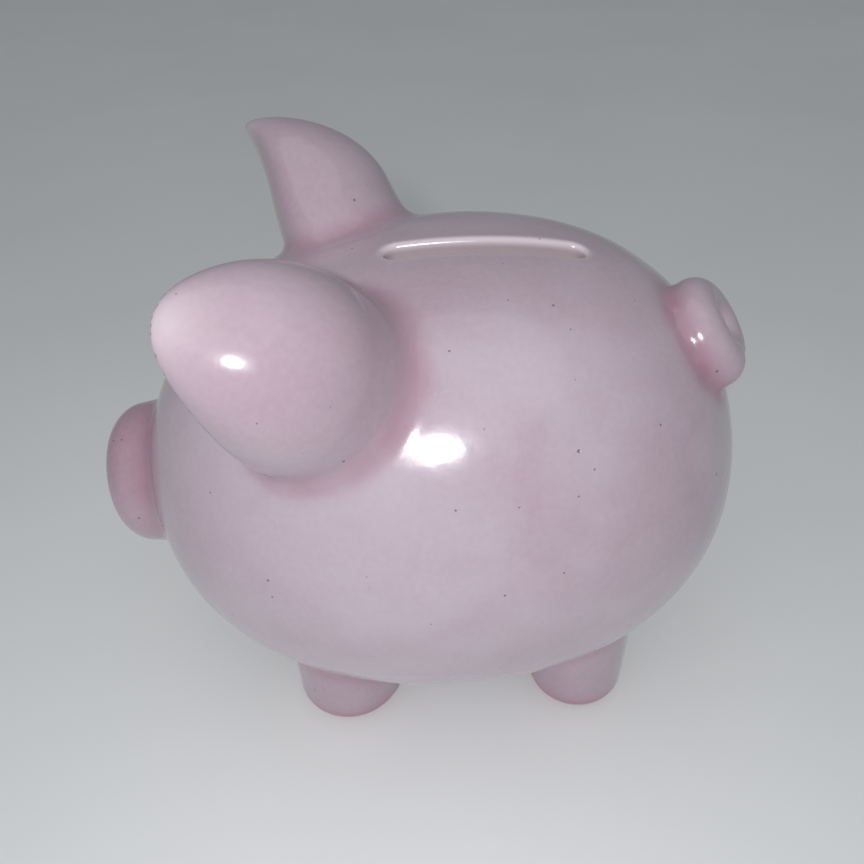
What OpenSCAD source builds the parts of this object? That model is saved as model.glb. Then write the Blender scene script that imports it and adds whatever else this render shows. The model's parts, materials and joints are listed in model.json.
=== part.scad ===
// Figural pig coin bank: hollow glazed ceramic body with a coin slot along
// the back, applied ears, snout, tail and feet, and a soft stopper in the belly.
// Frame: +X towards the tail, snout towards -X, +Z up, the feet stand on z = 0.
// Millimetres.

/* [Body] */
// Length of the body along its own axis
body_len = 115; // [105:1:125]
// Largest diameter of the body
body_d = 94.3; // [88:0.1:100]
// Fullness of the body's outline, 2 is a plain ellipse
body_full = 2.2; // [2:0.05:2.4]
// How much wider the rear half is than the front half
body_egg = 0.02; // [0:0.01:0.05]
// Nose-down tilt of the body's axis, in degrees
body_tilt = 5; // [3:0.5:7]
// Middle of the body, behind the origin under the middle of the whole bank
body_x = 4.56; // [4.3:0.01:4.8]
// Height of the middle of the body above the table
body_z = 52.3; // [51:0.1:54]
// Height of the back above the body's axis, where it is flatter than round
crown_z = 45.3; // [44:0.1:47]
// Wall thickness of the casting
wall = 4; // [3:0.5:5]

/* [Coin slot] */
// Length of the slot
slot_len = 35; // [32:0.5:38]
// Width of the slot
slot_w = 5; // [4.5:0.1:6]
// Middle of the slot, behind the middle of the body
slot_x = 12.9; // [5:0.1:18]

/* [Ears] */
// Half width of an ear at its root
ear_w = 16; // [14:0.1:17]
// Depth of the ear's rounded back at its root
ear_d = 16.3; // [13:0.1:17]
// Root of the left ear's axis
ear_root = [-17.3, -26.5, 90];
// Tip of the left ear
ear_tip = [-32.2, -38.1, 107];
// Forward curl of the ear
ear_curl = 8.3; // [5:0.1:9]
// How much thinner than its root the ear is near its tip
ear_thin = 0.54; // [0.4:0.01:0.65]
// Depth of the ear's flatter front against its back
ear_flat = 0.57; // [0.5:0.01:0.8]

/* [Snout] */
// Radius of the snout
snout_r = 14.2; // [12:0.1:16]
// Distance from the middle of the body to the snout's flat face
snout_x = 66; // [63:0.5:69]
// Height of the snout's axis above the body's axis
snout_z = 1.6; // [-2:0.1:4]
// Rounding of the snout's rim
snout_edge = 5; // [3:0.1:6]
// Radius of a nostril
nostril_r = 1.9; // [1.5:0.1:2.5]
// Depth of a nostril
nostril_depth = 2.6; // [1:0.1:4]
// Distance between the nostrils' middles
nostril_gap = 10; // [8:0.5:12]

/* [Eyes] */
// Radius of the ball that an eye's dab of glaze is cut from
eye_r = 2.6; // [2:0.1:3.5]
// How far the ball's middle lies under the body's surface
eye_sink = 1.3; // [0.8:0.1:1.6]
// Angle of an eye out from the middle of the face, about the body's axis
eye_angle = 20; // [15:1:25]
// Distance of the eyes ahead of the middle of the body
eye_x = 40; // [36:0.5:43]

/* [Feet] */
// Radius of a front foot
front_foot_r = 11.4; // [9.5:0.1:12]
// Radius of a rear foot
rear_foot_r = 10.2; // [9:0.1:11]
// Rounding of a foot's lower edge
foot_edge = 4; // [3:0.1:5]
// Front feet, ahead of the origin
front_foot_x = 17; // [16:0.1:19]
// Rear feet, behind the origin
rear_foot_x = 33.3; // [31:0.1:35]
// Feet, out from the middle
foot_y = 19.5; // [18.5:0.1:22]

/* [Tail] */
// Radius of the curl's centre line
tail_curl_r = 6.5; // [6:0.1:7]
// Radius of the tail where it leaves the body
tail_root_r = 4.8; // [4.5:0.1:5.2]
// Radius of the tail at its tip
tail_tip_r = 3.1; // [2.6:0.1:3.4]
// Turns of the curl
tail_turns = 1.1; // [1:0.05:1.15]
// Height of the curl on the rump, in degrees above the body's axis
tail_angle = 31; // [28:1:34]
// The curl's middle, towards the left side
tail_y = -5.5; // [-8:0.5:-3]
// Lean of the curl: its right side stands further out of the rump, in degrees
tail_lean = 11; // [6:0.5:14]

/* [Stopper] */
// Diameter of the coin outlet in the belly
outlet_d = 27; // [25:0.5:28]
// Outlet, behind the origin
outlet_x = 6.5; // [5:0.5:8]
// Height of the flat land around the outlet
land_z = 8.6; // [8:0.1:9]
// Diameter of the stopper's flange
flange_d = 32; // [31:0.5:33]
// Thickness of the flange
flange_t = 1.7; // [1.4:0.1:2]
// Radial clearance of the stopper in the outlet
fit_gap = 0.05; // [0.03:0.01:0.1]
// Height of the stopper inside the outlet
plug_h = 6.5; // [5:0.5:8]

/* [Hidden] */

// Clearance between the body and what is joined to it, filled by glaze
joint_gap = 0.04;
// Steps along the body's outline
prof_n = 44;
a = body_len / 2;
b = body_d / 2;
slot_z = 60;
boss_r = outlet_d / 2 + 3.2;
boss_top = land_z + 4.2;

pink = "#a8929c";
deep = "#8d7079";
dark = "#3a2b2c";
grey = "#8d8a86";

// Outline radius of the body at a distance x along its axis
function body_rad(x) = b * pow(max(0, 1 - pow(abs(x / a), body_full)), 1 / body_full)
                         * (1 + body_egg * x / a);
// Outline points from nose to tail, grown outwards by g
function body_prof(g) = [for (i = [0:prof_n]) let (t = -90 + 180 * i / prof_n, x = a * sin(t))
    let (r = (i == 0 || i == prof_n) ? 0 : body_rad(x), l = sqrt(pow(x / a, 2) + pow(r / b, 2)))
    [r == 0 ? 0 : r + g * (r / b) / l, x + g * (x / a) / l]];

// Puts the body's own axis along X and tilts it, with its middle at body_z
module body_frame() translate([body_x, 0, body_z]) rotate([0, -body_tilt, 0]) children();

// Wide shallow dome that the back follows, grown by g
module crown(g) translate([-0.8, 0, crown_z - 100])
    scale([109.5 + g, 97.5 + g, 100 + g]) sphere(r = 1, $fn = 144);

// Solid of the body's outer form, grown by g
module body_solid(g = 0, fn = 128) body_frame() intersection() {
    rotate([0, 90, 0]) rotate_extrude($fn = fn) polygon(body_prof(g));
    crown(g);
}

// Disc with a rounded edge at its far end, along +Z
module rounded_pad(r, h, e) rotate_extrude($fn = 96) union() {
    square([r - e, h]);
    square([r, h - e]);
    translate([r - e, h - e]) intersection() { circle(r = e, $fn = 64); square([e, e]); }
}

// Long hole with round ends along X, from z = 0 up
module long_hole(l, w, h) {
    for (s = [-1, 1]) translate([s * (l - w) / 2, 0, 0]) cylinder(r = w / 2, h = h, $fn = 64);
    translate([-(l - w) / 2, -w / 2, 0]) cube([l - w, w, h]);
}

module body_shell() color(pink) difference() {
    body_solid();
    difference() {
        body_solid(-wall);
        translate([outlet_x, 0, -1]) cylinder(r = boss_r, h = boss_top + 1, $fn = 96);
    }
    body_frame() translate([slot_x, 0, 20]) long_hole(slot_len, slot_w, 60);
    translate([outlet_x, 0, -1]) cylinder(r = outlet_d / 2, h = 40, $fn = 96);
    translate([-60, -60, -10]) cube([120, 120, 10 + land_z]);
}

// Snout's form along +Z: rounded at the far end, a little wider where it meets the face
module snout_pad(h) let (r = snout_r + 0.24, e = snout_edge) rotate_extrude($fn = 96) union() {
    square([r - e, h]);
    polygon([[0, 0], [snout_r + 0.12 * (h - 2), 0], [r, h - e], [0, h - e]]);
    translate([r - e, h - e]) intersection() { circle(r = e, $fn = 64); square([e, e]); }
}

module snout() color(pink) difference() {
    body_frame() translate([-a + 8, 0, snout_z]) rotate([0, -90, 0])
        snout_pad(snout_x - a + 8);
    body_solid(joint_gap);
    body_frame() for (s = [-1, 1]) translate([-snout_x - 1, s * nostril_gap / 2, snout_z + 0.5])
        rotate([0, 90, 0]) cylinder(r = nostril_r, h = nostril_depth + 1, $fn = 48);
}

// Unit vectors of the left ear: along it, forwards across it, and sideways
function unit(v) = v / norm(v);
ear_ax = unit(ear_tip - ear_root);
ear_len = norm(ear_tip - ear_root);
ear_f0 = unit([-1, 0, 0] + ear_ax * ear_ax[0]);
ear_s0 = cross(ear_ax, ear_f0);
ear_twist = -8.6;
ear_fw = ear_f0 * cos(ear_twist) + ear_s0 * sin(ear_twist);
ear_sd = ear_s0 * cos(ear_twist) - ear_f0 * sin(ear_twist);
ear_steps = 18;
function ear_t(i) = let (u = i / ear_steps) u < 0.3 ? -0.5 + u / 0.3 * 0.5 : sin(90 * (u - 0.3) / 0.7);
function ear_dome(t) = t <= 0 ? 1 : pow(max(0, 1 - pow(t, 1.97)), 1 / 1.97);
function ear_mid(t) = -3 * (t * t - t) + ear_curl * (t * t * t - t);
function ear_half_w(t) = max(0.7, ear_w * (1 - 0.11 * pow(max(t, 0), 1.6)) * ear_dome(t));
function ear_half_d(t) = max(0.7, ear_d * (1 - ear_thin * pow(max(t, 0), 1.6)) * ear_dome(t));

// Section of the ear: a round back and a flatter, squarer front
function ear_oval(d, w) = [for (i = [0:35]) let (c = cos(10 * i), s = sin(10 * i))
    c > 0 ? [d * ear_flat * pow(c, 2 / 3), w * sign(s) * pow(abs(s), 2 / 3)] : [d * c, w * s]];
// One thin slice of the left ear
module ear_slice(t) {
    p = ear_root + ear_ax * ear_len * t + ear_fw * ear_mid(t);
    multmatrix([[ear_fw[0], ear_sd[0], ear_ax[0], p[0]],
                [ear_fw[1], ear_sd[1], ear_ax[1], p[1]],
                [ear_fw[2], ear_sd[2], ear_ax[2], p[2]]])
        linear_extrude(0.1) polygon(ear_oval(ear_half_d(t), ear_half_w(t)));
}

module ear() difference() {
    for (i = [0:ear_steps - 1]) hull() { ear_slice(ear_t(i)); ear_slice(ear_t(i + 1)); }
    body_solid(joint_gap, 180);
}

module left_ear() color(pink) ear();
module right_ear() color(pink) mirror([0, 1, 0]) ear();

module eye(s) color(dark) difference() {
    body_frame() rotate([s * eye_angle, 0, 0]) {
        r = body_rad(-eye_x) - eye_sink;
        translate([-eye_x, 0, r]) sphere(r = eye_r, $fn = 48);
    }
    body_solid(joint_gap);
}
module left_eye() eye(1);
module right_eye() eye(-1);

// Point of the curl's centre line at turn u, in the body's own frame
tail_dir = [cos(tail_angle), 0, sin(tail_angle)];
tail_tan = [-sin(tail_angle), 0, cos(tail_angle)];
tail_base = let (x = a * 0.88, r = body_rad(x)) [x, 0, sqrt(r * r - tail_y * tail_y)];
tail_steps = 26;
function tail_rad(u) = tail_root_r + (tail_tip_r - tail_root_r) * pow(u, 1.2);
function tail_pt(u) = let (w = 199 - 360 * tail_turns * u, r = tail_curl_r * (1 - 0.28 * u))
    tail_base + [0, tail_y, 0] + tail_dir * (0.8 + 0.8 * u)
    + ([0, 1, 0] + tail_dir * tan(tail_lean)) * r * cos(w)
    + (tail_tan - tail_dir * tan(3)) * r * sin(w);

module tail() color(pink) difference() {
    body_frame() for (i = [0:tail_steps - 1]) hull() {
        translate(tail_pt(i / tail_steps)) sphere(r = tail_rad(i / tail_steps), $fn = 24);
        translate(tail_pt((i + 1) / tail_steps)) sphere(r = tail_rad((i + 1) / tail_steps), $fn = 24);
    }
    body_solid(joint_gap, 180);
}

module foot(x, y, r) color(pink) difference() {
    translate([x, y, 22]) mirror([0, 0, 1]) rounded_pad(r, 22, foot_edge);
    body_solid(joint_gap);
}
module front_left_foot() foot(-front_foot_x, -foot_y, front_foot_r);
module front_right_foot() foot(-front_foot_x, foot_y, front_foot_r);
module rear_left_foot() foot(rear_foot_x, -foot_y, rear_foot_r);
module rear_right_foot() foot(rear_foot_x, foot_y, rear_foot_r);

// Soft stopper: flange, hollow plug with two sealing ribs, and a finger bar
module belly_stopper() color(grey) translate([outlet_x, 0, land_z]) {
    r = outlet_d / 2;
    difference() {
        union() {
            translate([0, 0, -flange_t]) cylinder(r = flange_d / 2, h = flange_t, $fn = 96);
            cylinder(r = r - 0.5, h = plug_h, $fn = 96);
            for (z = [1.2, 3.2]) translate([0, 0, z]) cylinder(r = r - fit_gap, h = 1, $fn = 96);
        }
        translate([0, 0, -flange_t - 1]) cylinder(r = r - 3, h = flange_t + plug_h - 0.6, $fn = 96);
    }
    translate([-r + 2, -1.6, -flange_t]) cube([2 * r - 4, 3.2, plug_h + flange_t - 1]);
}

body_shell();
snout();
left_ear();
right_ear();
left_eye();
right_eye();
tail();
front_left_foot();
front_right_foot();
rear_left_foot();
rear_right_foot();
belly_stopper();
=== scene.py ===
import json
import math
import bpy
import numpy as np
from mathutils import Matrix, Vector


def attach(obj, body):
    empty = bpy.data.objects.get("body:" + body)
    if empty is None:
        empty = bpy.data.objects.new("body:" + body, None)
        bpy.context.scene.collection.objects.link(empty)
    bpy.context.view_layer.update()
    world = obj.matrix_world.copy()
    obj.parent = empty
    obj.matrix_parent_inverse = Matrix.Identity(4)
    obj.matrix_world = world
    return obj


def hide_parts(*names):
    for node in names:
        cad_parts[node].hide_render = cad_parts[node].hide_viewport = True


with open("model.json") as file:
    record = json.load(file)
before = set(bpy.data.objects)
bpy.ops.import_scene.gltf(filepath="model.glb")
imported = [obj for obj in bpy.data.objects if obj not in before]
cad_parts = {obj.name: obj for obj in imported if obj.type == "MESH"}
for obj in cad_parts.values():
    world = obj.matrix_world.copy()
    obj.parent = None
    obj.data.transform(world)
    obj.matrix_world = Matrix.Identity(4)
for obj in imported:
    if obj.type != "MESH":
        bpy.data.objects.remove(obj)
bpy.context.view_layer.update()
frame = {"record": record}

# ----------------------------------------------------------------------------
# The bank's form, in millimetres, as distance functions of the same sizes
# ----------------------------------------------------------------------------
A, B, FULL, EGG, TILT, BX, BZ, WALL = 57.5, 47.15, 2.2, 0.02, 5.0, 4.56, 52.3, 4.0
SLOT_X, SLOT_L, SLOT_W = 12.9, 35.0, 5.0
OUT_X, OUT_R, LAND = 6.5, 13.5, 8.6
CT, ST = math.cos(math.radians(TILT)), math.sin(math.radians(TILT))
RT = np.array([[CT, 0, -ST], [0, 1, 0], [ST, 0, CT]])
MID = np.array([BX, 0, BZ])

def to_local(p):
    return (p - MID) @ RT

def to_world(q):
    return q @ RT.T + MID

def smin(a, b, k):
    h = np.maximum(k - np.abs(a - b), 0) / k
    return np.minimum(a, b) - h * h * k * 0.25

def smax(a, b, k):
    return -smin(-a, -b, k)

def unit(v):
    v = np.asarray(v, float)
    return v / np.linalg.norm(v)

# the back is a little flatter than the body's round section
CROWN_C, CROWN_R = np.array([-0.8, 0, -54.7]), np.array([109.5, 97.5, 100.0])

def egg(p):
    q = to_local(p)
    m = (q - CROWN_C) / CROWN_R
    g = np.sqrt((m * m).sum(1))
    m = m / CROWN_R
    top = (g - 1) * g / np.maximum(np.sqrt((m * m).sum(1)), 1e-9)
    return smax(round_body(q), top, 2.0)

def round_body(q):
    x, rho = q[:, 0], np.hypot(q[:, 1], q[:, 2])
    bb = B * np.clip(1 + EGG * x / A, 0.8, 1.2)
    u, v = np.maximum(np.abs(x) / A, 1e-6), np.maximum(rho / bb, 1e-6)
    g = (u**FULL + v**FULL) ** (1 / FULL)
    slope = g ** (1 - FULL) * np.hypot(u ** (FULL - 1) / A, v ** (FULL - 1) / bb)
    return (g - 1) / slope

def egg_rad(x, off=0.0):
    u = np.clip(np.abs(x) / A, 0, 1)
    return B * (1 + EGG * x / A) * (1 - u**FULL) ** (1 / FULL) + off

def slot_dist(p):
    q = to_local(p)
    dx = np.maximum(np.abs(q[:, 0] - SLOT_X) - (SLOT_L - SLOT_W) / 2, 0)
    d = np.hypot(dx, q[:, 1]) - SLOT_W / 2
    return np.where(q[:, 2] > 0, d, 60.0)

def waves(p):
    """The slight unevenness of a cast and sponged wall."""
    x, y, z = p[:, 0], p[:, 1], p[:, 2]
    n = (np.sin(x * 0.083 + 1.3 + 0.6 * np.sin(z * 0.05)) * np.sin(y * 0.091 + 0.4) * np.sin(z * 0.087 + 2.1)
         + 0.55 * np.sin(x * 0.17 + y * 0.12 + 0.7) * np.sin(z * 0.16 - y * 0.09 + 1.9)
         + 0.25 * np.sin(x * 0.31 - z * 0.22) * np.sin(y * 0.33 + 0.5 + z * 0.1))
    s = np.clip((slot_dist(p) - 3) / 9, 0, 1)
    s = s * s * (3 - 2 * s)
    low = np.clip((z - 11) / 12, 0, 1)
    return 0.13 * n * s * low

def body(p):
    return smax(egg(p) + 0.10 + waves(p), LAND - p[:, 2], 1.4)

# Ears
E_ROOT, E_TIP = np.array([-17.3, 26.5, 90.0]), np.array([-32.2, 38.1, 107.0])
E_W, E_D, E_CURL, E_THIN, E_FLAT, E_TWIST = 16.0, 16.3, 8.3, 0.54, 0.57, -8.6
E_AX = unit(E_TIP - E_ROOT)
E_LEN = float(np.linalg.norm(E_TIP - E_ROOT))
_f0 = unit(np.array([-1.0, 0, 0]) + E_AX * E_AX[0])
_s0 = np.cross(E_AX, _f0)
_c, _s = math.cos(math.radians(E_TWIST)), math.sin(math.radians(E_TWIST))
# the twist is given for the left ear; this frame is the right ear's mirror of it
E_FW, E_SD = _f0 * _c - _s0 * _s, _s0 * _c + _f0 * _s

def ear_q(p, side):
    q = np.stack([p[:, 0], p[:, 1] * side, p[:, 2]], 1) - E_ROOT
    t, f, l = q @ E_AX / E_LEN, q @ E_FW, q @ E_SD
    tc = np.clip(t, -0.6, 1.2)
    tp = np.maximum(tc, 0)
    mid = -3.0 * (tc * tc - tc) + E_CURL * (tc**3 - tc)
    w = E_W * (1 - 0.11 * tp**1.6)
    d = E_D * np.maximum(1 - E_THIN * tp**1.6, 0.1)
    # the ear's front is flatter than its back
    u, v, front = np.abs(f - mid), np.maximum(np.abs(l) / w, 1e-6), f > mid
    k = np.where(front, 3.0, 2.0)
    r = (np.maximum(u / np.where(front, d * E_FLAT, d), 1e-6) ** k + v**k) ** (1 / k)
    tt = np.where(t > 0, t, np.maximum(-t - 0.45, 0) * 3)
    return (np.maximum(r, 1e-6) ** 1.97 + tt**1.97) ** (1 / 1.97)

def ear(p, side):
    e = 0.04
    v = ear_q(p, side)
    g = np.zeros(len(p))
    for k in range(3):
        o = np.zeros(3)
        o[k] = e
        g += ((ear_q(p + o, side) - ear_q(p - o, side)) / (2 * e)) ** 2
    return (v - 1) / np.maximum(np.sqrt(g), 0.02)

def pad(p, c, ax, r, h, e):
    """Rounded disc about an axis: r radius, h half length, e edge rounding."""
    d = p - c
    t = d @ ax
    rho = np.sqrt(np.maximum((d * d).sum(1) - t * t, 0))
    dx, dy = rho - (r - e), np.abs(t) - (h - e)
    return np.minimum(np.maximum(dx, dy), 0) + np.hypot(np.maximum(dx, 0), np.maximum(dy, 0)) - e

SN_R, SN_X, SN_Z, SN_E, SN_CONE = 14.2, 66.0, 1.6, 5.0, 0.12
SN_AX = RT @ np.array([-1.0, 0, 0])
SN_C = to_world(np.array([[-SN_X + 14, 0, SN_Z]]))[0]

def snout(p):
    back = np.clip(12 - (p - SN_C) @ SN_AX, 0, 16)
    return pad(p, SN_C, SN_AX, SN_R + SN_CONE * back, 14, SN_E)

FEET = {
    "front_left_foot": (-17.0, -19.5, 11.4),
    "front_right_foot": (-17.0, 19.5, 11.4),
    "rear_left_foot": (33.3, -19.5, 10.2),
    "rear_right_foot": (33.3, 19.5, 10.2),
}

def foot(p, x, y, r):
    return pad(p, np.array([x, y, 14.0]), np.array([0, 0, 1.0]), r, 14, 4.0)

# Tail curl
T_ANG, T_Y, T_R, T_TURNS, T_R0, T_R1, T_LEAN = 31.0, -5.5, 6.5, 1.1, 4.8, 3.1, 11.0
T_DIR = np.array([math.cos(math.radians(T_ANG)), 0, math.sin(math.radians(T_ANG))])
T_TAN = np.array([-T_DIR[2], 0, T_DIR[0]])
_tx = A * 0.88
T_BASE = np.array([_tx, 0, math.sqrt(float(egg_rad(_tx)) ** 2 - T_Y**2)])
_u = np.linspace(0, 1, 97)
_w, _r = np.radians(199 - 360 * T_TURNS * _u), T_R * (1 - 0.28 * _u)
T_PTS = to_world(T_BASE + np.array([0, T_Y, 0]) + T_DIR * (0.8 + 0.8 * _u)[:, None]
                 + (np.array([0, 1.0, 0]) + T_DIR * math.tan(math.radians(T_LEAN))) * (_r * np.cos(_w))[:, None]
                 + (T_TAN - T_DIR * math.tan(math.radians(3))) * (_r * np.sin(_w))[:, None])
T_RAD = T_R0 + (T_R1 - T_R0) * _u**1.2

def tail(p):
    d = np.full(len(p), 1e3)
    for i in range(len(T_PTS) - 1):
        a, ba = T_PTS[i], T_PTS[i + 1] - T_PTS[i]
        t = np.clip((p - a) @ ba / (ba @ ba), 0, 1)
        d = np.minimum(d, np.linalg.norm(p - a - t[:, None] * ba, axis=1) - (T_RAD[i] + (T_RAD[i + 1] - T_RAD[i]) * t))
    return d

# name: (distance function, fillet, centre and radius of the ball it lies in)
PARTS = {
    "left_ear": (lambda p: ear(p, -1), 3.2, np.array([-18, -27, 90.0]), 36),
    "right_ear": (lambda p: ear(p, 1), 3.2, np.array([-18, 27, 90.0]), 36),
    "snout": (snout, 3.0, SN_C, 24),
    "tail": (tail, 2.2, T_PTS.mean(0), 20),
}
for _n, (_x, _y, _rr) in FEET.items():
    PARTS[_n] = ((lambda p, v=(_x, _y, _rr): foot(p, *v)), 2.4, np.array([_x, _y, 12.0]), 24)

def near(p, name):
    _, k, c, r = PARTS[name]
    return ((p - c) ** 2).sum(1) < (r + k) ** 2

def skin(p):
    d = body(p)
    for name, (fn, k, c, r) in PARTS.items():
        m = near(p, name)
        if m.any():
            d[m] = smin(d[m], fn(p[m]), k)
    return d

def cavity(p):
    """Negative in the hollow: the wall's inner face, with a boss left round the outlet."""
    c = egg(p) + WALL
    rr = np.hypot(p[:, 0] - OUT_X, p[:, 1])
    boss = smax(rr - (OUT_R + 3.2), p[:, 2] - (LAND + 4.2), 1.0)
    return smax(c, -boss, 1.5)

def grad(fn, p, e=0.02):
    g = np.empty_like(p)
    for k in range(3):
        o = np.zeros(3)
        o[k] = e
        g[:, k] = (fn(p + o) - fn(p - o)) / (2 * e)
    return g

def normals(fn, p):
    g = grad(fn, p)
    return g / np.maximum(np.linalg.norm(g, axis=1), 1e-9)[:, None]

# ----------------------------------------------------------------------------
# Surface from a distance function: one vertex a cell, quads, then drawn onto it
# ----------------------------------------------------------------------------
def extract(fn, lo, hi, h, relax=2, steps=3):
    lo, hi = np.asarray(lo, float), np.asarray(hi, float)
    c = 4
    n = (np.ceil((hi - lo) / (h * c)).astype(int)) * c + 1
    ax = [lo[k] + h * np.arange(n[k]) for k in range(3)]
    # coarse pass finds the blocks that the surface runs through
    nc = (n - 1) // c
    cx = [lo[k] + h * c * (np.arange(nc[k]) + 0.5) for k in range(3)]
    P = np.stack(np.meshgrid(*cx, indexing="ij"), -1).reshape(-1, 3)
    v = fn(P).reshape(nc)
    live = np.abs(v) < h * c * 1.25 + 1.0
    F = np.repeat(np.repeat(np.repeat(v, c, 0), c, 1), c, 2)
    F = np.pad(F, ((0, 1), (0, 1), (0, 1)), mode="edge").astype(float)
    need = np.zeros(n, bool)
    I = np.argwhere(live)
    for i, j, k in I:
        need[i * c:i * c + c + 1, j * c:j * c + c + 1, k * c:k * c + c + 1] = True
    idx = np.argwhere(need)
    F[need] = fn(lo + idx * h)
    S = F < 0
    # cells with both signs
    cnt = np.zeros(n - 1, int)
    for a in (0, 1):
        for b in (0, 1):
            for d in (0, 1):
                cnt += S[a:n[0] - 1 + a, b:n[1] - 1 + b, d:n[2] - 1 + d]
    act = (cnt > 0) & (cnt < 8)
    cells = np.argwhere(act)
    vid = np.full(n - 1, -1)
    vid[act] = np.arange(len(cells))
    acc, num = np.zeros((len(cells), 3)), np.zeros(len(cells))
    for axis in range(3):
        o1, o2 = [k for k in range(3) if k != axis]
        for a in (0, 1):
            for b in (0, 1):
                s = np.zeros((len(cells), 3), int)
                s[:, o1], s[:, o2] = a, b
                c0 = cells + s
                c1 = c0.copy()
                c1[:, axis] += 1
                f0, f1 = F[tuple(c0.T)], F[tuple(c1.T)]
                m = (f0 < 0) != (f1 < 0)
                t = np.where(m, f0 / np.where(m, f0 - f1, 1), 0)
                q = c0.astype(float)
                q[:, axis] += t
                acc[m] += q[m]
                num[m] += 1
    V = lo + acc / num[:, None] * h
    Q = []
    for axis in range(3):
        o1, o2 = [(1, 2), (2, 0), (0, 1)][axis]
        sl0, sl1 = [slice(None)] * 3, [slice(None)] * 3
        sl0[axis], sl1[axis] = slice(0, n[axis] - 1), slice(1, n[axis])
        e = S[tuple(sl0)] != S[tuple(sl1)]
        E = np.argwhere(e)
        E = E[(E[:, o1] > 0) & (E[:, o2] > 0) & (E[:, o1] < n[o1] - 1) & (E[:, o2] < n[o2] - 1)]
        ins = S[tuple(sl0)][tuple(E.T)]
        quad = []
        for d1, d2 in ((-1, -1), (0, -1), (0, 0), (-1, 0)):
            k = E.copy()
            k[:, o1] += d1
            k[:, o2] += d2
            quad.append(vid[tuple(k.T)])
        q = np.stack(quad, 1)
        q[~ins] = q[~ins][:, ::-1]
        Q.append(q)
    Q = np.concatenate(Q)
    for i in range(steps):
        g = grad(fn, V)
        V = V - (fn(V) / np.maximum((g * g).sum(1), 0.05))[:, None] * g
        if i < relax:
            nb, ct = np.zeros_like(V), np.zeros(len(V))
            for a, b in ((0, 1), (1, 2), (2, 3), (3, 0)):
                np.add.at(nb, Q[:, a], V[Q[:, b]])
                np.add.at(nb, Q[:, b], V[Q[:, a]])
                np.add.at(ct, Q[:, a], 1)
                np.add.at(ct, Q[:, b], 1)
            d = nb / ct[:, None] - V
            nn = g / np.maximum(np.linalg.norm(g, axis=1), 1e-9)[:, None]
            V = V + 0.6 * (d - (d * nn).sum(1)[:, None] * nn)
    return V, Q

class Skin:
    """A growing vertex list with polygons in it, cut along contours."""
    def __init__(self, V, Q):
        self.V = V
        self.quads = Q            # (n,4) array
        self.polys = []           # lists of other lengths

    def cut(self, fn, gfn, h, pick=None):
        """Splits off the part of the surface where gfn < 0. fn is the surface. pick(p) says where gfn may act."""
        V = self.V
        g = gfn(V) if pick is None else np.where(pick(V), gfn(V), 1e3)
        # draw vertices that lie close to the contour onto it
        for rep in range(3):
            m = np.abs(g) < 0.36 * h
            if not m.any():
                break
            P = V[m]
            nf, gg = normals(fn, P), grad(gfn, P)
            gt = gg - (gg * nf).sum(1)[:, None] * nf
            P = P - (gfn(P) / np.maximum((gt * gt).sum(1), 0.05))[:, None] * gt
            nf2 = grad(fn, P)
            P = P - (fn(P) / np.maximum((nf2 * nf2).sum(1), 0.05))[:, None] * nf2
            V[m] = P
            if rep == 0:
                on = m.copy()
            m = on
            g[m] = 0
        on = np.zeros(len(V), bool) if not (g == 0).any() else (g == 0)
        faces = [list(f) for f in self.polys]
        Q = self.quads
        s = np.where(on, 0, np.sign(g)).astype(int)
        qs = s[Q]
        cross = (qs.min(1) < 0) & (qs.max(1) > 0)
        allon = (qs == 0).all(1)
        inside = (qs.max(1) <= 0) & ~allon
        if allon.any():
            cen = V[Q[allon]].mean(1)
            gi = gfn(cen) < 0
            k = np.nonzero(allon)[0]
            inside[k[gi]] = True
        in_q, out_q = Q[inside & ~cross], Q[~inside & ~cross]
        todo = [list(f) for f in Q[cross]]
        in_p, out_p = [], []
        for f in faces:
            fs = s[f]
            if fs.min() < 0 < fs.max():
                todo.append(f)
            elif fs.max() <= 0 and (fs < 0).any():
                in_p.append(f)
            else:
                out_p.append(f)
        made, new = {}, []
        base = len(V)
        def mid(a, b):
            key = (a, b) if a < b else (b, a)
            if key not in made:
                t = g[a] / (g[a] - g[b])
                made[key] = base + len(new)
                new.append(V[a] + (V[b] - V[a]) * t)
            return made[key]
        for f in todo:
            pi, po = [], []
            for z, a, b in zip(f[-1:] + f[:-1], f, f[1:] + f[:1]):
                # an edge that lies on the contour goes to one side only
                if s[a] < 0 or (s[a] == 0 and (s[z] < 0 or s[b] < 0)):
                    pi.append(a)
                if s[a] >= 0:
                    po.append(a)
                if s[a] * s[b] < 0:
                    k = mid(a, b)
                    pi.append(k)
                    po.append(k)
            if len(pi) > 2:
                (in_p).append(pi)
            if len(po) > 2:
                (out_p).append(po)
        if new:
            N = np.array(new)
            for _ in range(3):
                nf, gg = normals(fn, N), grad(gfn, N)
                gt = gg - (gg * nf).sum(1)[:, None] * nf
                N = N - (gfn(N) / np.maximum((gt * gt).sum(1), 0.05))[:, None] * gt
                g2 = grad(fn, N)
                N = N - (fn(N) / np.maximum((g2 * g2).sum(1), 0.05))[:, None] * g2
            self.V = np.concatenate([V, N])
        else:
            self.V = V
        self.quads, self.polys = out_q, out_p
        return in_q, in_p

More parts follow.
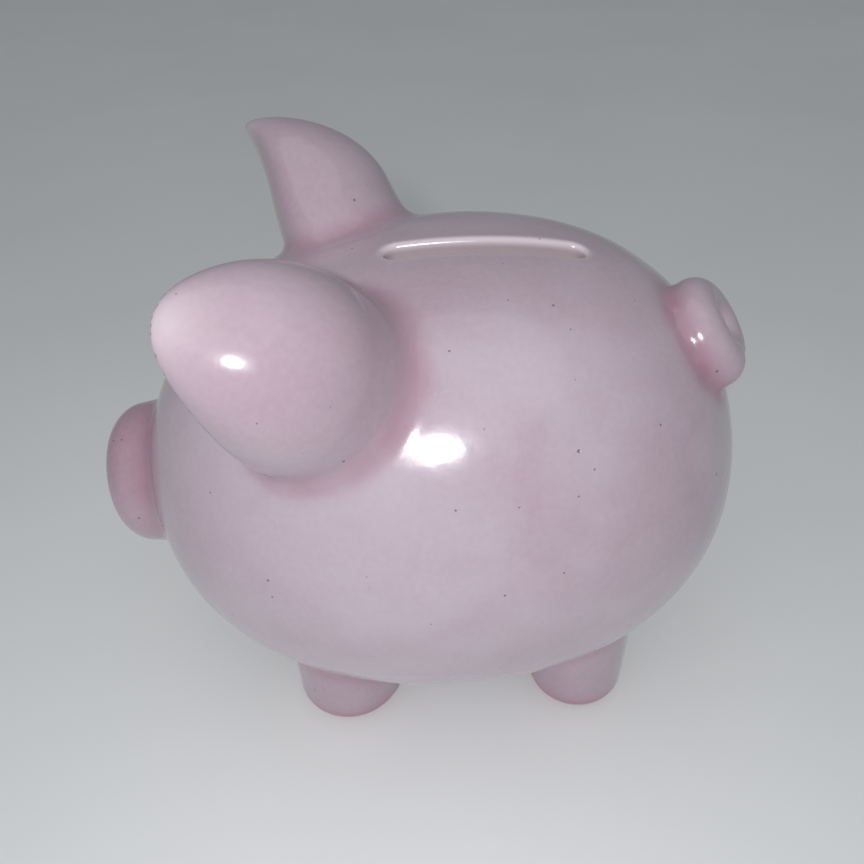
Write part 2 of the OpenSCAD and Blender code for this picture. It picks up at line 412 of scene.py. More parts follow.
def loops(quads, polys):
    """The open edges of some faces as closed rings of vertices, in the faces' own direction."""
    E = []
    if len(quads):
        for a, b in ((0, 1), (1, 2), (2, 3), (3, 0)):
            E.append(quads[:, [a, b]])
    ex = [(a, b) for f in polys for a, b in zip(f, f[1:] + f[:1])]
    if ex:
        E.append(np.array(ex))
    E = np.concatenate(E)
    n = int(E.max()) + 1
    key, rev = E[:, 0].astype(np.int64) * n + E[:, 1], E[:, 1].astype(np.int64) * n + E[:, 0]
    free = E[~np.isin(key, rev)]
    nxt = {}
    for a, b in free:
        nxt.setdefault(int(a), []).append(int(b))
    out = []
    while nxt:
        a = next(iter(nxt))
        ring = [a]
        while True:
            b = nxt[ring[-1]].pop()
            if not nxt[ring[-1]]:
                del nxt[ring[-1]]
            if b == ring[0]:
                break
            ring.append(b)
        out.append(ring)
    return sorted(out, key=len, reverse=True)
# ----------------------------------------------------------------------------
# Pieces: polygons with a normal for every corner, cut from one skin
# ----------------------------------------------------------------------------
class Piece:
    def __init__(self):
        self.V, self.F, self.N = [], [], []
        self.n = 0

    def add(self, V, F, N=None, vn=None):
        """F are index lists into V. N: a normal for each face's corners; vn: a normal for each vertex; neither: flat."""
        V = np.asarray(V, float)
        for i, f in enumerate(F):
            f = [int(k) for k in f]
            if N is not None:
                self.N.append(np.asarray(N[i], float))
            elif vn is not None:
                self.N.append(vn[f])
            else:
                q = V[f]
                c = np.cross(q - q.mean(0), np.roll(q, -1, 0) - q.mean(0)).sum(0)
                c = c / max(np.linalg.norm(c), 1e-12)
                self.N.append(np.repeat(c[None], len(f), 0))
            self.F.append([k + self.n for k in f])
        self.V.append(V)
        self.n += len(V)

    def done(self):
        """Welded vertices, faces and corner normals; polygons that touch themselves are split, pin holes closed."""
        V = np.concatenate(self.V)
        _, first, inv = np.unique(np.round(V, 6), axis=0, return_index=True, return_inverse=True)
        inv = inv.reshape(-1)
        F, N = [], []
        def put(g, n):
            for i in range(len(g)):
                for j in range(i + 1, len(g)):
                    if g[i] == g[j]:
                        put(g[i:j], n[i:j])
                        put(g[j:] + g[:i], np.concatenate([n[j:], n[:i]]))
                        return
            if len(g) > 2:
                F.append(g)
                N.append(n)
        for f, n in zip(self.F, self.N):
            g = [int(inv[k]) for k in f]
            if len(set(g)) == len(g):
                F.append(g)
                N.append(n)
            else:
                put(g, n)
        # two faces on the same vertices lie back to back: both go
        twin = {}
        for i, f in enumerate(F):
            twin.setdefault(frozenset(f), []).append(i)
        gone = {i for v in twin.values() if len(v) == 2 for i in v}
        F, N = [f for i, f in enumerate(F) if i not in gone], [n for i, n in enumerate(N) if i not in gone]
        E, at = {}, {}
        for i, (f, n) in enumerate(zip(F, N)):
            for a, b, m in zip(f, f[1:] + f[:1], n):
                E[(a, b)] = E.get((a, b), 0) + 1
                at[a] = m
        nxt = {}
        for (a, b), c in E.items():
            for _ in range(c - E.get((b, a), 0)):
                nxt.setdefault(b, []).append(a)
        while nxt:
            a = next(iter(nxt))
            ring = [a]
            while True:
                b = nxt[ring[-1]].pop()
                if not nxt[ring[-1]]:
                    del nxt[ring[-1]]
                if b == ring[0] or b not in nxt:
                    break
                ring.append(b)
            if 2 < len(ring) < 12:
                put(ring, np.array([at[k] for k in ring]))
        W = V[first]
        used = np.unique(np.concatenate([np.asarray(f) for f in F]))
        back = np.full(len(W), -1)
        back[used] = np.arange(len(used))
        return W[used], [[int(back[k]) for k in f] for f in F], np.concatenate(N)

def ring_faces(rows, n, flip=False):
    """Quads between rows of n vertices round a closed ring; row 0 runs along existing faces' open edges."""
    F = []
    for r in range(rows - 1):
        for i in range(n):
            a, b = r * n + i, r * n + (i + 1) % n
            F.append([b, a, a + n, b + n] if not flip else [a, b, b + n, a + n])
    return F

def grid_normals(G, first=None, last=None):
    """Smooth normals of rows of rings, for faces made by ring_faces without flip."""
    du = np.roll(G, -1, 1) - np.roll(G, 1, 1)
    dv = np.empty_like(G)
    dv[1:-1] = G[2:] - G[:-2]
    dv[0], dv[-1] = G[1] - G[0], G[-1] - G[-2]
    n = np.cross(dv, du)
    n /= np.maximum(np.linalg.norm(n, axis=2), 1e-9)[:, :, None]
    if first is not None:
        n[0] = first
    if last is not None:
        n[-1] = last
    return n

def drop_to(P, level, steps=4):
    """Draws points along the body's gradient to egg distance = level."""
    for _ in range(steps):
        g = grad(egg, P)
        P = P - ((egg(P) - level) / np.maximum((g * g).sum(1), 0.1))[:, None] * g
    return P

def cap(piece, L, depth=2.2, rings=4):
    """Closes an open ring of a skin with a wall going in and a floor that follows the body's curve."""
    n = len(L)
    inward = -normals(egg, L)
    rows = [L, L + inward * depth * 0.5, L + inward * depth]
    mid = drop_to(rows[-1].mean(0)[None], float(egg(rows[-1]).mean()))[0]
    for j in range(1, rings):
        t = j / rings
        P = rows[2] * (1 - t) + mid * t
        lev = egg(rows[2]) * (1 - t) + egg(mid[None])[0] * t
        rows.append(drop_to(P, lev, 2))
    G = np.array(rows)
    V = np.concatenate([G.reshape(-1, 3), mid[None]])
    F = ring_faces(len(rows), n)
    k = (len(rows) - 1) * n
    F += [[k + (i + 1) % n, k + i, len(V) - 1] for i in range(n)]
    piece.add(V, F)

def zipper(A, B):
    """Triangles between two rings round one hole. A and B run along their own faces' open edges."""
    Br = B[::-1]
    k = int(np.argmin(((Br - A[0]) ** 2).sum(1)))
    Br = np.roll(Br, -k, 0)
    na, nb = len(A), len(Br)
    F, i, j = [], 0, 0
    V = np.concatenate([A, Br])
    while i < na or j < nb:
        a, a2 = A[i % na], A[(i + 1) % na]
        b, b2 = Br[j % nb], Br[(j + 1) % nb]
        if j >= nb or (i < na and np.linalg.norm(a2 - b) <= np.linalg.norm(b2 - a)):
            F.append([(i + 1) % na, i % na, na + j % nb])
            i += 1
        else:
            F.append([na + j % nb, na + (j + 1) % nb, i % na])
            j += 1
    return V, F

def arc(r, n=6):
    """Rounding from flat (r away from the wall, no depth) to the wall (no distance, r deep)."""
    return [(r * (1 - math.sin(t)), r * (1 - math.cos(t))) for t in np.linspace(0, math.pi / 2, n + 1)]

H = 0.8
S = Skin(*extract(skin, (-64, -49, -2.1), (64, 49, 113), H))

def tail_seam(p):
    q = to_local(p) - T_BASE - np.array([0, T_Y, 0])
    d = q - (q @ T_DIR)[:, None] * T_DIR
    return np.minimum(tail(p) - body(p), np.linalg.norm(d, axis=1) - 3.0)

# Nostrils: oval, cut out of the skin before the snout is
NOS_Y, NOS_A, NOS_B = 4.9, 1.9, 2.6
def nostril_s(p, s):
    q = to_local(p)
    return np.hypot((q[:, 1] - s * NOS_Y) / NOS_A, (q[:, 2] - SN_Z - 0.6) / NOS_B)

def nostril_rows(L, s):
    q = to_local(L)
    y, z = (q[:, 1] - s * NOS_Y) / NOS_A, (q[:, 2] - SN_Z - 0.6) / NOS_B
    k = np.hypot(y, z)
    cy, cz = y / k, z / k
    rows = [q]
    prof = [(1.30, 0.0)] + [(1 + d / NOS_A, h) for d, h in arc(0.5)] + [(0.97, 1.1), (0.93, 1.7)]
    prof += [(0.93 * math.cos(t), 1.7 + 0.9 * math.sin(t)) for t in np.linspace(0.3, 1.45, 5)]
    for sc, h in prof:
        rows.append(np.stack([np.full(len(q), -SN_X + h), s * NOS_Y + cy * sc * NOS_A, SN_Z + 0.6 + cz * sc * NOS_B], 1))
    G = np.array([to_world(r) for r in rows])
    return G

nostrils = []
for s in (-1, 1):
    iq, ip = S.cut(skin, lambda p: (nostril_s(p, s) - 1.5) * NOS_A, H, pick=lambda p: (to_local(p)[:, 0] < -SN_X + 3) & (p[:, 1] * s > -1))
    ring = loops(iq, ip)[0][::-1]
    nostrils.append((ring, s))

pieces, seams = {}, {}
for name, (fn, k, c, r) in PARTS.items():
    g = tail_seam if name == "tail" else (lambda p, fn=fn: fn(p) - body(p))
    iq, ip = S.cut(skin, g, H, pick=lambda p: near(p, name))
    pieces[name] = (iq, ip)
    seams[name] = loops(iq, ip)

SLOT_CUT, LIP = 2.5, 1.15
iq, ip = S.cut(skin, lambda p: slot_dist(p) - SLOT_CUT, H, pick=lambda p: to_local(p)[:, 2] > 15)
slot_ring = loops(iq, ip)[0][::-1]
OUT_CUT = 16.6
iq, ip = S.cut(skin, lambda p: np.hypot(p[:, 0] - OUT_X, p[:, 1]) - OUT_CUT, H, pick=lambda p: p[:, 2] < 14)
out_ring = loops(iq, ip)[0][::-1]

V = S.V
VN = normals(skin, V)

def skin_piece(quads, polys):
    p = Piece()
    F = [list(f) for f in quads] + polys
    idx = np.unique(np.concatenate([np.asarray(f) for f in F]))
    back = np.full(len(V), -1)
    back[idx] = np.arange(len(idx))
    p.add(V[idx], [[back[k] for k in f] for f in F], vn=VN[idx])
    return p

made = {}
for name, (iq, ip) in pieces.items():
    p = skin_piece(iq, ip)
    rings = seams[name]
    for ring in rings:
        L = V[ring]
        hit = None
        if name == "snout":
            for nr, s in nostrils:
                if np.linalg.norm(V[nr].mean(0) - L.mean(0)) < 2:
                    hit = s
        if hit is None:
            cap(p, L)
        else:
            G = nostril_rows(L, hit)
            n = len(L)
            vn = grid_normals(G, first=VN[ring])
            VV = np.concatenate([G.reshape(-1, 3), G[-1].mean(0)[None]])
            NN = np.concatenate([vn.reshape(-1, 3), SN_AX[None]])
            F = ring_faces(len(G), n)
            k = (len(G) - 1) * n
            F += [[k + (i + 1) % n, k + i, len(VV) - 1] for i in range(n)]
            p.add(VV, F, vn=NN)
    made[name] = p

# Body shell: the rest of the skin, sockets for what is joined to it, the slot, the outlet and the inner wall
shell = skin_piece(S.quads, S.polys)
for name, rings in seams.items():
    for ring in rings:
        if name == "snout" and any(np.linalg.norm(V[nr].mean(0) - V[ring].mean(0)) < 2 for nr, _ in nostrils):
            continue
        cap(shell, V[ring[::-1]])

HC = 1.52
C = Skin(*extract(cavity, (-58, -46, 4), (66, 46, 98), HC, relax=1))
iq, ip = C.cut(cavity, lambda p: slot_dist(p) - 2.6, HC, pick=lambda p: to_local(p)[:, 2] > 15)
in_slot = loops(iq, ip)[0]
iq, ip = C.cut(cavity, lambda p: np.hypot(p[:, 0] - OUT_X, p[:, 1]) - 15.6, HC, pick=lambda p: p[:, 2] < 14)
in_out = loops(iq, ip)[0]
CV, CN = C.V, -normals(cavity, C.V)
F = [list(f)[::-1] for f in C.quads] + [f[::-1] for f in C.polys]
idx = np.unique(np.concatenate([np.asarray(f) for f in F]))
back = np.full(len(CV), -1)
back[idx] = np.arange(len(idx))
shell.add(CV[idx], [[back[k] for k in f] for f in F], vn=CN[idx])

def onto(P, level):
    """Moves points up or down, in the body's own frame, to egg distance = level."""
    q = to_local(P)
    for _ in range(6):
        e = 0.02
        up = q + np.array([0, 0, e])
        f0, f1 = egg(to_world(q)), egg(to_world(up))
        q = q.copy()
        q[:, 2] -= (f0 - level) * e / np.where(np.abs(f1 - f0) < 1e-6, 1e-6, f1 - f0)
    return q

def slot_rows(L):
    q = to_local(L)
    cx = SLOT_X + np.clip(q[:, 0] - SLOT_X, -(SLOT_L - SLOT_W) / 2, (SLOT_L - SLOT_W) / 2)
    v = np.stack([q[:, 0] - cx, q[:, 1]], 1)
    v /= np.linalg.norm(v, axis=1)[:, None]
    rows = [L]
    def at(d):
        xy = np.stack([cx, np.zeros(len(cx))], 1) + v * (SLOT_W / 2 + d)
        return np.concatenate([xy, np.full((len(xy), 1), 45.0)], 1)
    prof = [(1.9, 0.0), (1.5, 0.0)] + arc(LIP, 8)
    for d, h in prof:
        p = onto(to_world(at(d)), -0.10)
        p[:, 2] -= h
        rows.append(to_world(p))
    zt, zb = to_local(rows[-1])[:, 2], onto(to_world(at(0)), -WALL)[:, 2]
    for t in (0.33, 0.66):
        p = at(0)
        p[:, 2] = zt * (1 - t) + (zb + 0.8) * t
        rows.append(to_world(p))
    for d, h in arc(0.8, 5)[::-1]:
        p = onto(to_world(at(d)), -WALL)
        p[:, 2] += h
        rows.append(to_world(p))
    rows.append(to_world(onto(to_world(at(1.7)), -WALL)))
    return np.array(rows)

def outlet_rows(L):
    d = L[:, :2] - np.array([OUT_X, 0])
    u = d / np.linalg.norm(d, axis=1)[:, None]
    def at(r, z):
        return np.concatenate([np.array([OUT_X, 0]) + u * r, np.full((len(u), 1), z)], 1)
    rows = [L, at(16.2, LAND + 0.02), at(15.4, LAND), at(14.8, LAND)]
    rows += [at(OUT_R + a, LAND + b) for a, b in arc(0.7)]
    top = LAND + 4.2
    rows += [at(OUT_R, LAND + t) for t in (1.5, 2.4)]
    rows += [at(OUT_R + a, top - b) for a, b in arc(0.7)[::-1]]
    rows += [at(14.9, top)]
    return np.array(rows)

for ring, fn, inner in ((slot_ring, slot_rows, in_slot), (out_ring, outlet_rows, in_out)):
    L = V[ring]
    G = fn(L)
    n = len(L)
    shell.add(G.reshape(-1, 3), ring_faces(len(G), n), vn=grid_normals(G, first=VN[ring]).reshape(-1, 3))
    # the last row's open edges run the same way round as the first's; the cavity's faces were turned over
    IR = CV[inner]
    ZV, ZF = zipper(G[-1], IR)
    if ZF:
        zn = -normals(cavity, ZV)
        shell.add(ZV, ZF, vn=zn)
made["body_shell"] = shell

def outward(V, F, c):
    """Turns each face so that it looks away from c."""
    out = []
    for f in F:
        q = V[f]
        n = np.cross(q - q.mean(0), np.roll(q, -1, 0) - q.mean(0)).sum(0)
        out.append(f if n @ (q.mean(0) - c) > 0 else f[::-1])
    return out

# Eyes: dabs of glaze that follow the body's curve
def eye_piece(s):
    r0 = float(egg_rad(-40.0)) - 1.3
    a = math.radians(20)
    c = to_world(np.array([[-40.0, -s * r0 * math.sin(a), r0 * math.cos(a)]]))
    c = drop_to(c, -0.10)[0]
    nrm = normals(egg, c[None])[0]
    e1 = unit(np.cross(nrm, [0, 0, 1.0]))
    e2 = np.cross(nrm, e1)
    n, R = 48, 2.25
    ang = np.linspace(0, 2 * math.pi, n, endpoint=False)
    rad = [R * math.sin(t) for t in np.linspace(0.12, math.pi / 2, 11)]
    top, bot = [], []
    for q in rad:
        P = c + q * (np.cos(ang)[:, None] * e1 + np.sin(ang)[:, None] * e2)
        P = drop_to(P, -0.10)
        N = normals(egg, P)
        x = q / R
        top.append(P + N * (1.12 * max(1 - x**2, 0) ** 0.62 + 0.02))
        bot.append(P - N * 0.5)
    G = np.array(top)
    vn = grid_normals(G)
    if (vn[2] @ nrm).mean() < 0:
        vn = -vn
    p = Piece()
    VV = np.concatenate([G.reshape(-1, 3), (c + nrm * 1.14)[None]])
    F = ring_faces(len(G), n) + [[i, (i + 1) % n, len(VV) - 1] for i in range(n)]
    inside = c + nrm * 0.1
    p.add(VV, outward(VV, F, inside), vn=np.concatenate([vn.reshape(-1, 3), nrm[None]]))
    W = np.concatenate([G[-1], np.array(bot[::-1]).reshape(-1, 3), (c - nrm * 0.5)[None]])
    rows, k = 1 + len(bot), len(bot) * n
    F = ring_faces(rows, n) + [[k + i, k + (i + 1) % n, len(W) - 1] for i in range(n)]
    p.add(W, outward(W, F, inside))
    return p

made["left_eye"], made["right_eye"] = eye_piece(1), eye_piece(-1)

# Stopper
def rbox(rr, z, r, z0, z1, e):
    dx, dy = rr - (r - e), np.abs(z - (z0 + z1) / 2) - ((z1 - z0) / 2 - e)
    return np.minimum(np.maximum(dx, dy), 0) + np.hypot(np.maximum(dx, 0), np.maximum(dy, 0)) - e

def stopper(p):
    x, y, z = p[:, 0] - OUT_X, p[:, 1], p[:, 2] - LAND
    rr = np.hypot(x, y)
    d = smin(rbox(rr, z, 16.0, -1.7, 0, 0.75), rbox(rr, z, 13.0, -1.0, 6.5, 0.9), 0.6)
    for z0 in (1.2, 3.2):
        d = smin(d, rbox(rr, z, 13.43, z0, z0 + 1.0, 0.45), 0.4)
    d = smax(d, -rbox(rr, z, 10.5, -9, 4.9, 1.2), 1.0)
    # soft ring on the flange's face
    d = smax(d, -(np.hypot(rr - 13.3, z + 1.95) - 0.55), 0.3)
    bar = np.maximum(np.abs(x) - 11.5, np.maximum(np.abs(y) - 0.9, np.abs(z - 2.1) - 2.9))
    b = np.hypot(np.maximum(np.abs(y) - 0.9 - 0.25 * np.abs(x / 11) ** 2, 0), np.maximum(np.abs(z - 2.1) - 2.9, 0)) - 0.7
    b = np.maximum(b, np.abs(x) - 11.5)
    return smin(d, b, 0.9)

HS = 0.34
SV, SQ = extract(stopper, (OUT_X - 17.5, -17.5, LAND - 3.2), (OUT_X + 17.5, 17.5, LAND + 8.0), HS, relax=1)
st = Piece()
st.add(SV, SQ.tolist(), vn=normals(stopper, SV))
made["belly_stopper"] = st
# ----------------------------------------------------------------------------
# Blender objects
# ----------------------------------------------------------------------------
MM = 0.001
record = frame["record"]
bodies = record["behaviour"]["bodies"]
body_of = {n: b for b, ns in bodies.items() for n in ns}
slot_of = {s["node"]: s["material_slot"] for s in record["subparts"]}

def make_object(name, piece):
    V, F, N = piece.done()
    me = bpy.data.meshes.new(name)
    me.from_pydata((V * MM).tolist(), [], F)
    me.polygons.foreach_set("use_smooth", [True] * len(me.polygons))
    me.update()
    N = N / np.maximum(np.linalg.norm(N, axis=1), 1e-9)[:, None]
    me.normals_split_custom_set(N.tolist())
    ob = bpy.data.objects.new(name, me)
    bpy.context.scene.collection.objects.link(ob)
    return ob, V

def put(me, name, values):
    a = me.attributes.new(name, "FLOAT", "POINT")
    a.data.foreach_set("value", np.asarray(values, np.float32))

def joint_pool_and_shade(P):
    """1 where glaze gathers in a joint between two members, with painted shade laid in the same joints, 0 away from
    it.
    """
    b = body(P)
    out = np.zeros(len(P))
    for name, (fn, k, c, r) in PARTS.items():
        m = near(P, name)
        if m.any():
            d = fn(P[m])
            w = 1.0 if "ear" in name else 1.3
            # both the member and the body are close by
            out[m] = np.maximum(out[m], np.exp(-((np.maximum(d, 0) + np.maximum(b[m], 0)) / (2.6 * w)) ** 1.5) * np.exp(-(np.minimum(d, 0) / 6.0) ** 2) * np.exp(-(np.minimum(b[m], 0) / 3.0) ** 2))
    return out

def edge_glaze_and_highlight(P):
    """1 where glaze runs thinner over an edge, with a painted highlight laid on it: the slot's lip and the ear tips.
    """
    out = np.exp(-((np.abs(slot_dist(P) - 0.2)) / 0.8) ** 2) * (egg(P) > -1.6)
    for s in (-1, 1):
        tip = E_TIP * np.array([1, s, 1])
        out = np.maximum(out, 0.8 * np.exp(-(np.linalg.norm(P - tip, axis=1) / 6.0) ** 2))
    return out

objects = {}
for name, piece in made.items():
    ob, P = make_object(name, piece)
    objects[name] = ob
    if slot_of[name] == "pink_glaze":
        # darker, rosier joints: glaze gathering there, plus painted shade
        put(ob.data, "pool_and_shade", joint_pool_and_shade(P))
        # whiter slot lip and ear tips: thinner glaze, plus a painted highlight
        put(ob.data, "thin", edge_glaze_and_highlight(P))
        e = egg(P)
        put(ob.data, "inner", np.clip((-0.6 - e) / 2.6, 0, 1) if name == "body_shell" else np.zeros(len(P)))
        z = P[:, 2]
        put(ob.data, "base", np.clip(1 - z / 0.5, 0, 1) if "foot" in name else np.zeros(len(P)))
        # rosier glaze tone on the snout, feet, ears and tail; on the snout it also grows towards the top as painted
        # shade
        rosy_tone_and_top_shade = 0.30 + 0.45 * np.clip((z - 46) / 14, 0, 1) if name == "snout" else np.full(len(P), 0.28 if "foot" in name else 0.12 if "ear" in name or name == "tail" else 0.0)
        put(ob.data, "rosy_tone_and_shade", rosy_tone_and_top_shade)
        # glaze runs down the feet and gathers above the table
        put(ob.data, "run", np.exp(-((z - 1.8) / 2.6) ** 2) if "foot" in name else np.zeros(len(P)))
    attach(ob, body_of[name])
    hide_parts(name)

# ----------------------------------------------------------------------------
# Materials
# ----------------------------------------------------------------------------
class Tree:
    def __init__(self, name):
        self.mat = bpy.data.materials.new(name)
        self.mat.use_nodes = True
        self.nt = self.mat.node_tree
        self.nt.nodes.clear()
        self.out = self.nt.nodes.new("ShaderNodeOutputMaterial")
        self.p = self.nt.nodes.new("ShaderNodeBsdfPrincipled")
        self.link(self.p.outputs[0], self.out.inputs["Surface"])
        self.co = self.nt.nodes.new("ShaderNodeTexCoord").outputs["Object"]

    def link(self, a, b):
        self.nt.links.new(a, b)

    def noise(self, scale, detail=2.0, rough=0.5, offset=(0, 0, 0), distort=0.0):
        m = self.nt.nodes.new("ShaderNodeMapping")
        m.inputs["Location"].default_value = offset
        self.link(self.co, m.inputs["Vector"])
        n = self.nt.nodes.new("ShaderNodeTexNoise")
        n.inputs["Scale"].default_value = scale
        n.inputs["Detail"].default_value = detail
        n.inputs["Roughness"].default_value = rough
        n.inputs["Distortion"].default_value = distort
        self.link(m.outputs[0], n.inputs["Vector"])
        return n.outputs["Fac"]

    def voronoi(self, scale, feature="F1", rand=1.0, offset=(0, 0, 0)):
        m = self.nt.nodes.new("ShaderNodeMapping")
        m.inputs["Location"].default_value = offset
        self.link(self.co, m.inputs["Vector"])
        n = self.nt.nodes.new("ShaderNodeTexVoronoi")
        n.feature = feature
        n.inputs["Scale"].default_value = scale
        n.inputs["Randomness"].default_value = rand
        self.link(m.outputs[0], n.inputs["Vector"])
        return n

    def attr(self, name):
        n = self.nt.nodes.new("ShaderNodeAttribute")
        n.attribute_name = name
        return n.outputs["Fac"]

    def span(self, v, a, b, c=0.0, d=1.0, smooth=False):
        n = self.nt.nodes.new("ShaderNodeMapRange")
        n.interpolation_type = "SMOOTHSTEP" if smooth else "LINEAR"
        for k, x in (("From Min", a), ("From Max", b), ("To Min", c), ("To Max", d)):
            n.inputs[k].default_value = x
        self.link(v, n.inputs["Value"])
        return n.outputs[0]

    def math(self, op, a, b=None, clamp=False):
        n = self.nt.nodes.new("ShaderNodeMath")
        n.operation, n.use_clamp = op, clamp
        for k, x in enumerate((a, b)):
            if x is None:
                continue
            if isinstance(x, (int, float)):
                n.inputs[k].default_value = x
            else:
                self.link(x, n.inputs[k])
        return n.outputs[0]

    def mix(self, fac, a, b, kind="MIX"):
        n = self.nt.nodes.new("ShaderNodeMix")
        n.data_type, n.blend_type = "RGBA", kind
        for k, x in ((0, fac), (6, a), (7, b)):
            if isinstance(x, (int, float)):
                n.inputs[k].default_value = x
            elif isinstance(x, tuple):
                n.inputs[k].default_value = (*x, 1)
            else:
                self.link(x, n.inputs[k])
        return n.outputs[2]

    def bump(self, height, strength, dist, normal=None):
        n = self.nt.nodes.new("ShaderNodeBump")
        n.inputs["Strength"].default_value = strength
        n.inputs["Distance"].default_value = dist
        self.link(height, n.inputs["Height"])
        if normal is not None:
            self.link(normal, n.inputs["Normal"])
        return n.outputs[0]

def pink_glaze():
    t = Tree("pink_glaze")
    pale, pink, rose, deep = (0.475, 0.392, 0.452), (0.435, 0.333, 0.392), (0.375, 0.212, 0.268), (0.24, 0.085, 0.125)
    # broad drift of the glaze's thickness, then cloudy mottling, then fine grain
    drift = t.noise(26, 2.0, 0.5, (0.3, 0.1, 0.7), 0.6)
    cloud = t.noise(95, 4.0, 0.6, (0.9, 0.4, 0.2), 0.4)
    grain = t.noise(900, 3.0, 0.6)
    col = t.mix(t.span(drift, 0.36, 0.66, smooth=True), pink, pale)
    col = t.mix(t.math("MULTIPLY", t.span(cloud, 0.42, 0.75, smooth=True), 0.16), col, rose)
    # rosier part tone, with painted shade on the snout's top
    col = t.mix(t.attr("rosy_tone_and_shade"), col, rose)
    col = t.mix(t.math("MULTIPLY", t.span(grain, 0.35, 0.7), 0.10), col, (0.70, 0.55, 0.61))
    # thicker glaze in the joints is rosier and darker, with painted shade laid over the joints as well; thinner glaze
    # on edges is whiter, with a painted highlight on the slot's lip and the ear tips
    pool_and_shade = t.math("MULTIPLY", t.attr("pool_and_shade"), t.span(t.noise(140, 3.0, 0.6, (0.2, 0.6, 0.1)), 0.25, 0.7, 0.65, 1.0))
    col = t.mix(t.span(pool_and_shade, 0.05, 0.75, 0.0, 0.85, smooth=True), col, rose)
    col = t.mix(t.span(pool_and_shade, 0.55, 1.0, 0.0, 0.55, smooth=True), col, deep)
    col = t.mix(t.math("MULTIPLY", t.attr("run"), 0.9), col, (0.38, 0.155, 0.215))
    col = t.mix(t.math("MULTIPLY", t.attr("thin"), 0.55), col, (0.80, 0.70, 0.735))
    # inside, bare biscuit with a dull wash of glaze; foot pads wiped clean before firing
    col = t.mix(t.attr("inner"), col, (0.50, 0.40, 0.41))
    bare = t.math("MULTIPLY", t.span(t.attr("base"), 0.35, 0.75, smooth=True), t.span(t.noise(330, 3.0, 0.6, (0.5, 0.5, 0.5)), 0.3, 0.5))
    col = t.mix(t.math("MULTIPLY", bare, 0.8), col, (0.66, 0.60, 0.56))
    # pinholes: few, tiny and dark, with a shallow pit
    v = t.voronoi(420, rand=1.0)
    cell = t.nt.nodes.new("ShaderNodeSeparateColor")
    t.link(v.outputs["Color"], cell.inputs[0])
    rare = t.math("GREATER_THAN", cell.outputs[0], 0.80)
    size = t.span(cell.outputs[1], 0, 1, 0.05, 0.15)
    pit = t.math("MULTIPLY", rare, t.math("SUBTRACT", 1.0, t.math("DIVIDE", v.outputs["Distance"], size), clamp=True))
    pit = t.span(pit, 0.0, 0.5, smooth=True)
    col = t.mix(t.math("MULTIPLY", pit, 0.75), col, (0.13, 0.06, 0.06))
    t.link(col, t.p.inputs["Base Color"])
    # handling dulls the gloss a little in patches
    wear = t.noise(55, 4.0, 0.6, (0.7, 0.8, 0.3), 0.3)
    rough = t.span(wear, 0.35, 0.75, 0.16, 0.27)
    rough = t.math("ADD", rough, t.math("MULTIPLY", t.attr("inner"), 0.45))
    rough = t.math("ADD", rough, t.math("MULTIPLY", bare, 0.5), clamp=True)
    t.link(rough, t.p.inputs["Roughness"])
    n = t.bump(t.noise(70, 2.0, 0.5, (0.1, 0.9, 0.4)), 0.20, 0.0010)
    n = t.bump(t.noise(420, 2.0, 0.5), 0.10, 0.00022, n)
    n = t.bump(t.math("SUBTRACT", 1.0, pit), 0.5, 0.00015, n)
    t.link(n, t.p.inputs["Normal"])
    t.p.inputs["IOR"].default_value = 1.5
    t.p.inputs["Coat Weight"].default_value = 0.55
    t.p.inputs["Coat Roughness"].default_value = 0.07
    t.p.inputs["Coat IOR"].default_value = 1.5
    t.p.inputs["Subsurface Weight"].default_value = 0.0
    return t.mat

def dark_glaze():
    t = Tree("dark_glaze")
    a = t.noise(300, 3.0, 0.6)
    col = t.mix(t.span(a, 0.3, 0.7), (0.016, 0.009, 0.009), (0.045, 0.020, 0.018))
    t.link(col, t.p.inputs["Base Color"])
    t.link(t.span(t.noise(500, 2.0), 0.3, 0.7, 0.10, 0.2), t.p.inputs["Roughness"])
    t.link(t.bump(t.noise(260, 2.0), 0.12, 0.0002), t.p.inputs["Normal"])
    t.p.inputs["Coat Weight"].default_value = 0.6
    t.p.inputs["Coat Roughness"].default_value = 0.05
    return t.mat

def stopper_rubber():
    t = Tree("stopper_rubber")
    a = t.noise(120, 3.0, 0.6)
    col = t.mix(t.span(a, 0.3, 0.7), (0.60, 0.575, 0.53), (0.70, 0.68, 0.64))
    dust = t.noise(800, 4.0, 0.7, (0.2, 0.2, 0.8))
    col = t.mix(t.math("MULTIPLY", t.span(dust, 0.55, 0.8), 0.35), col, (0.40, 0.37, 0.33))
    t.link(col, t.p.inputs["Base Color"])
    t.link(t.span(t.noise(240, 3.0), 0.3, 0.7, 0.42, 0.6), t.p.inputs["Roughness"])
    n = t.bump(t.noise(1500, 3.0, 0.6), 0.12, 0.0001)
    t.link(t.bump(t.noise(160, 2.0), 0.15, 0.0003, n), t.p.inputs["Normal"])
    t.p.inputs["Subsurface Weight"].default_value = 0.0
    return t.mat

mats = {"pink_glaze": pink_glaze(), "dark_glaze": dark_glaze(), "stopper_rubber": stopper_rubber()}
for name, ob in objects.items():
    ob.data.materials.clear()
    ob.data.materials.append(mats[slot_of[name]])

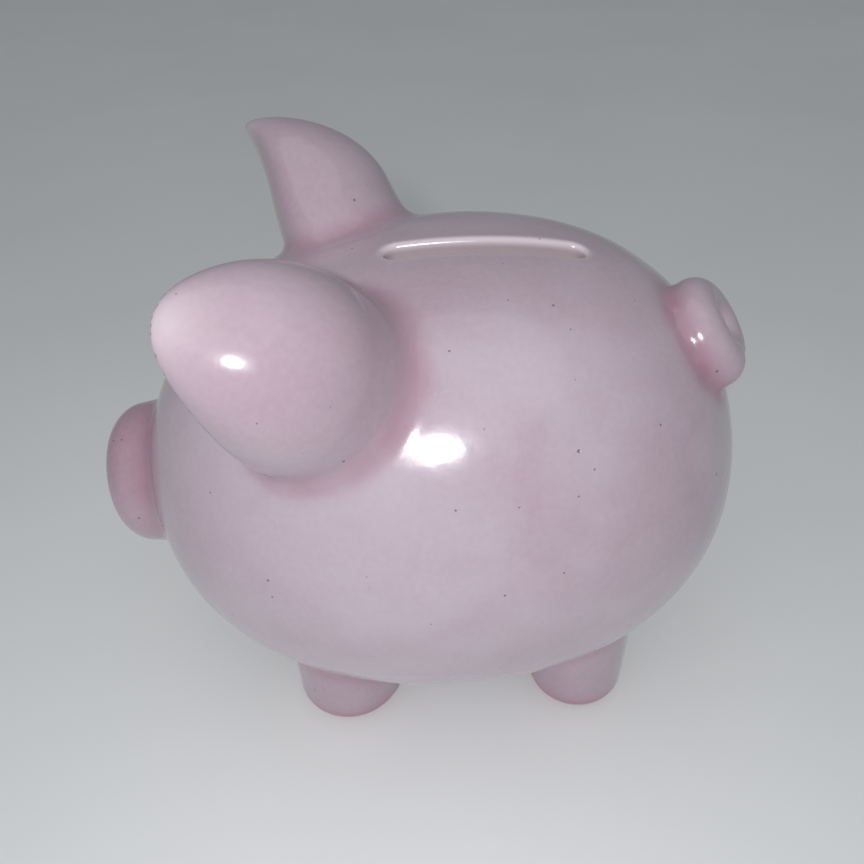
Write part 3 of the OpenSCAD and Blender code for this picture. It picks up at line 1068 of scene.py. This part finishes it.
# ----------------------------------------------------------------------------
# Floor, light and camera
# ----------------------------------------------------------------------------
me = bpy.data.meshes.new("floor")
s = 3.0
me.from_pydata([(-s, -s, 0), (s, -s, 0), (s, s, 0), (-s, s, 0)], [], [(0, 1, 2, 3)])
floor = bpy.data.objects.new("floor", me)
bpy.context.scene.collection.objects.link(floor)
t = Tree("floor")
t.link(t.mix(t.span(t.noise(9, 3.0), 0.3, 0.7), (0.78, 0.79, 0.79), (0.82, 0.825, 0.825)), t.p.inputs["Base Color"])
t.p.inputs["Roughness"].default_value = 0.55
me.materials.append(t.mat)

world = bpy.data.worlds.new("studio")
bpy.context.scene.world = world
world.use_nodes = True
bg = world.node_tree.nodes["Background"]
bg.inputs[0].default_value = (0.86, 0.90, 0.93, 1)
bg.inputs[1].default_value = 0.27

def area(name, at, to, size, power, color=(1, 1, 1)):
    d = bpy.data.lights.new(name, "AREA")
    d.shape, d.size, d.energy, d.color = "DISK", size, power, color
    o = bpy.data.objects.new(name, d)
    o.location = at
    o.rotation_euler = (Vector(to) - Vector(at)).to_track_quat("-Z", "Y").to_euler()
    bpy.context.scene.collection.objects.link(o)

CAM = np.array([0.00492, -0.13063, 0.16089])
# small softbox beside the lens, on the line that puts its reflection on the flank and the near ear
area("key", (-0.0156, -0.1923, 0.2059), (0, 0, 0.06), 0.018, 0.35, (0.965, 0.985, 1.0))
area("top", (-0.15, -0.35, 1.5), (0, 0, 0.05), 2.2, 5.0, (0.97, 0.99, 1.0))

R = np.array([[0.99934, -0.01388, -0.03357], [-0.03489, -0.62458, -0.78018], [-0.01014, 0.78084, -0.62465]])
cam = bpy.data.cameras.new("camera")
cam.sensor_width = 36.0
cam.lens = 815.96 / 864 * 36
cam.clip_start = 0.005
co = bpy.data.objects.new("camera", cam)
M = np.eye(4)
M[:3, 0], M[:3, 1], M[:3, 2], M[:3, 3] = R[0], -R[1], -R[2], CAM
co.matrix_world = Matrix(M.tolist())
bpy.context.scene.collection.objects.link(co)
bpy.context.scene.camera = co
bpy.context.scene.view_settings.view_transform = "Standard"
